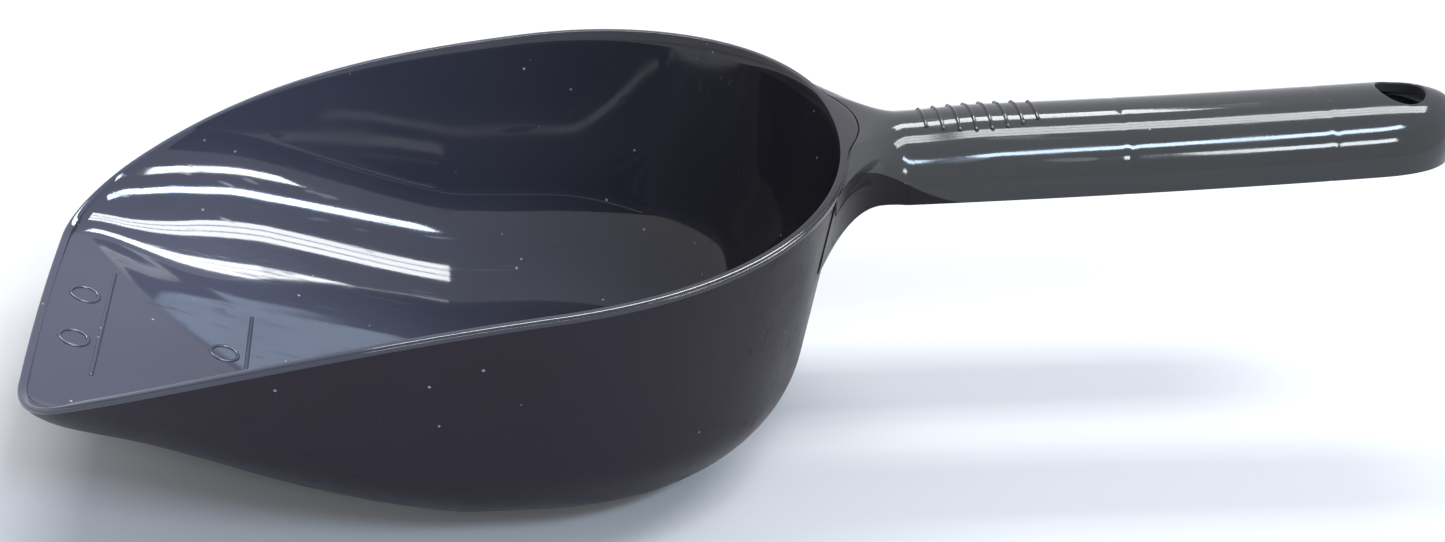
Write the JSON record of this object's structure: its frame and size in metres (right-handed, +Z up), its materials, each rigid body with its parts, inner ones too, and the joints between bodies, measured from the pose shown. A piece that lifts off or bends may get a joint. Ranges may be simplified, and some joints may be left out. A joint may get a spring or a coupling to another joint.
{
  "type": "two-cup feed scoop",
  "caption": "One-hand scoop with an open bowl, a sloping mouth and a half-round channel handle with a hanging hole.",
  "frame": {"origin": "middle of the flat under the bowl, on the surface that the scoop stands on", "axes": "+X along the scoop towards the handle's end, the lip at -X; +Y across it; +Z up out of the mouth"},
  "size_m": [0.2875, 0.119, 0.0713],
  "materials": {
    "bowl_plastic": "black moulded plastic, polished inside the bowl and satin outside",
    "handle_plastic": "black moulded plastic, polished",
    "satin_plastic": "black moulded plastic, satin"
  },
  "bodies": {
    "root": {"bowl_shell": "bowl_plastic", "rim_bead": "bowl_plastic", "one_cup_line": "bowl_plastic", "one_cup_ring_1": "bowl_plastic", "two_cup_line": "bowl_plastic", "two_cup_ring_1": "bowl_plastic", "two_cup_ring_2": "bowl_plastic", "neck_saddle": "handle_plastic", "neck_gusset": "satin_plastic", "handle_grip": "handle_plastic", "handle_end": "handle_plastic", "hang_sleeve": "handle_plastic", "cross_rib_1": "satin_plastic", "cross_rib_2": "satin_plastic", "thumb_rib_1": "handle_plastic", "thumb_rib_2": "handle_plastic", "thumb_rib_3": "handle_plastic", "thumb_rib_4": "handle_plastic", "thumb_rib_5": "handle_plastic", "thumb_rib_6": "handle_plastic", "thumb_rib_7": "handle_plastic", "thumb_rib_8": "handle_plastic"}
  },
  "joints": []
}
